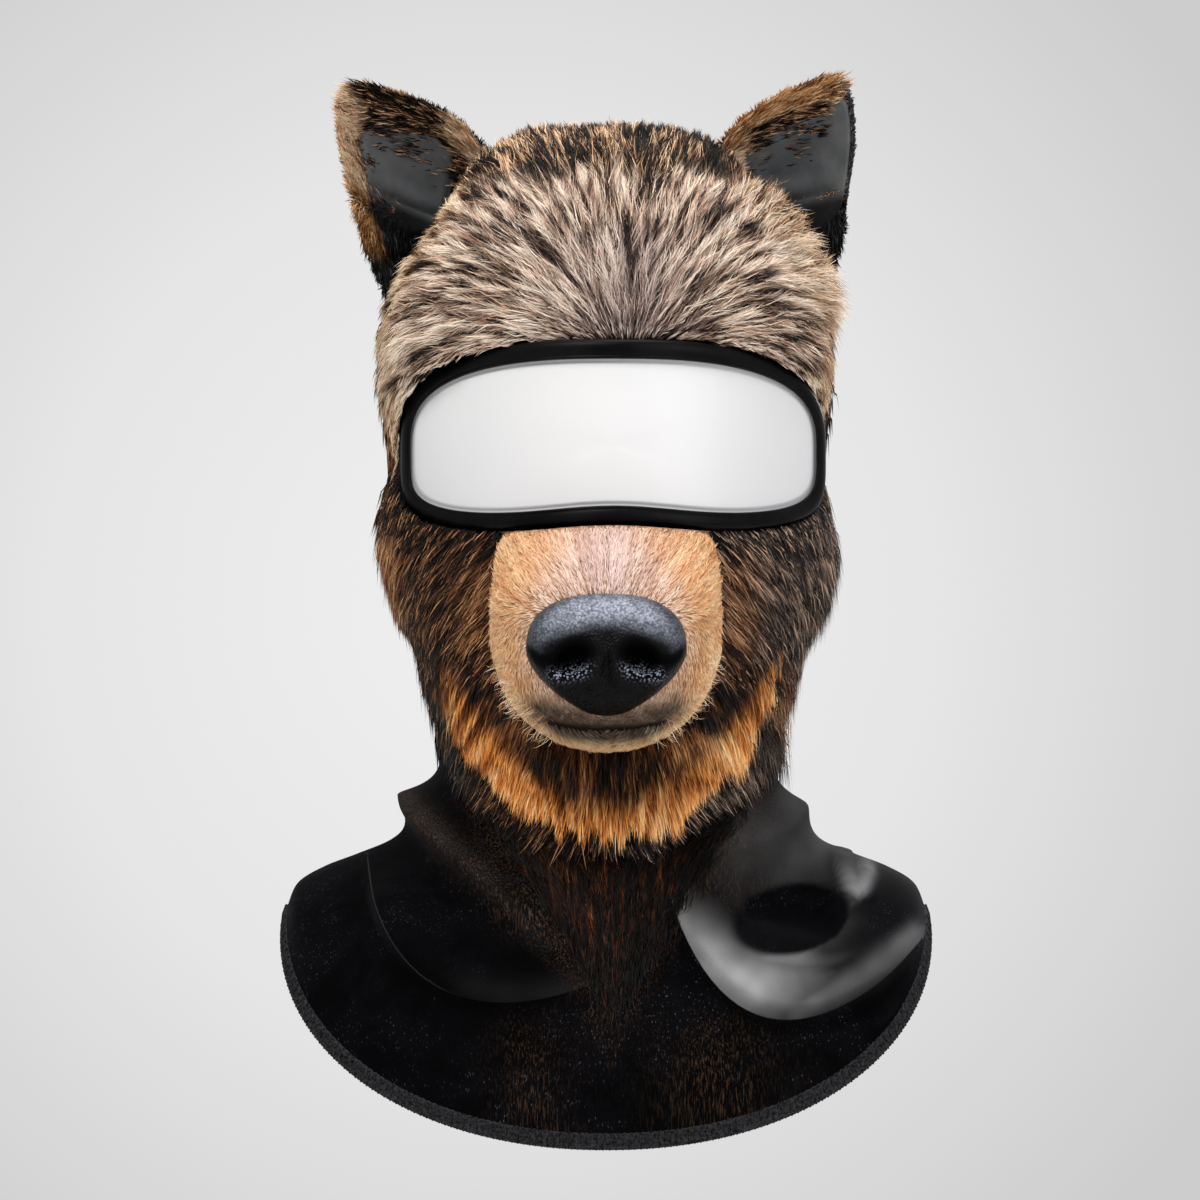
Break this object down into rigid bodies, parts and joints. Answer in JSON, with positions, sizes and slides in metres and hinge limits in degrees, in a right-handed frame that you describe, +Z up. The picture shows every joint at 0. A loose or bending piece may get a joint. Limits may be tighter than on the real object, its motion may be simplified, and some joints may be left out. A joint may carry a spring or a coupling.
{
  "type": "bear mask hood with visor and shoulder cape",
  "caption": "Full-head fur hood shaped as a bear's head, with padded muzzle, moulded nose, lined ears, a framed curved visor, a chin ruff and a draped shoulder cape.",
  "frame": {"origin": "inside of the crown, where the top of the wearer's head sits", "axes": "+Z up, the face looks along -Y, +X on the right of someone who looks at the face"},
  "size_m": [0.2746, 0.2738, 0.4415],
  "materials": {
    "brown_fur": "pile fabric, dark brown with tan tips",
    "tan_fur": "short tan pile fabric",
    "orange_fur": "long orange-brown pile fabric",
    "moulded_nose": "pebbled, satin",
    "visor_frame": "matt black",
    "visor_lens": "pearl white, glossy",
    "ear_lining": "smooth dark grey cloth",
    "black_velvet": "black velvet with a grey sheen",
    "black_binding": "black overlocked binding"
  },
  "bodies": {
    "root": {"hood": "brown_fur", "cape_front": "black_velvet", "cape_back": "black_velvet", "hem_binding": "black_binding", "muzzle": "tan_fur", "nose": "moulded_nose", "visor_frame": "visor_frame", "visor_lens": "visor_lens", "chin_ruff": "orange_fur", "ear_left": "brown_fur", "ear_lining_left": "ear_lining", "ear_right": "brown_fur", "ear_lining_right": "ear_lining"}
  },
  "joints": []
}
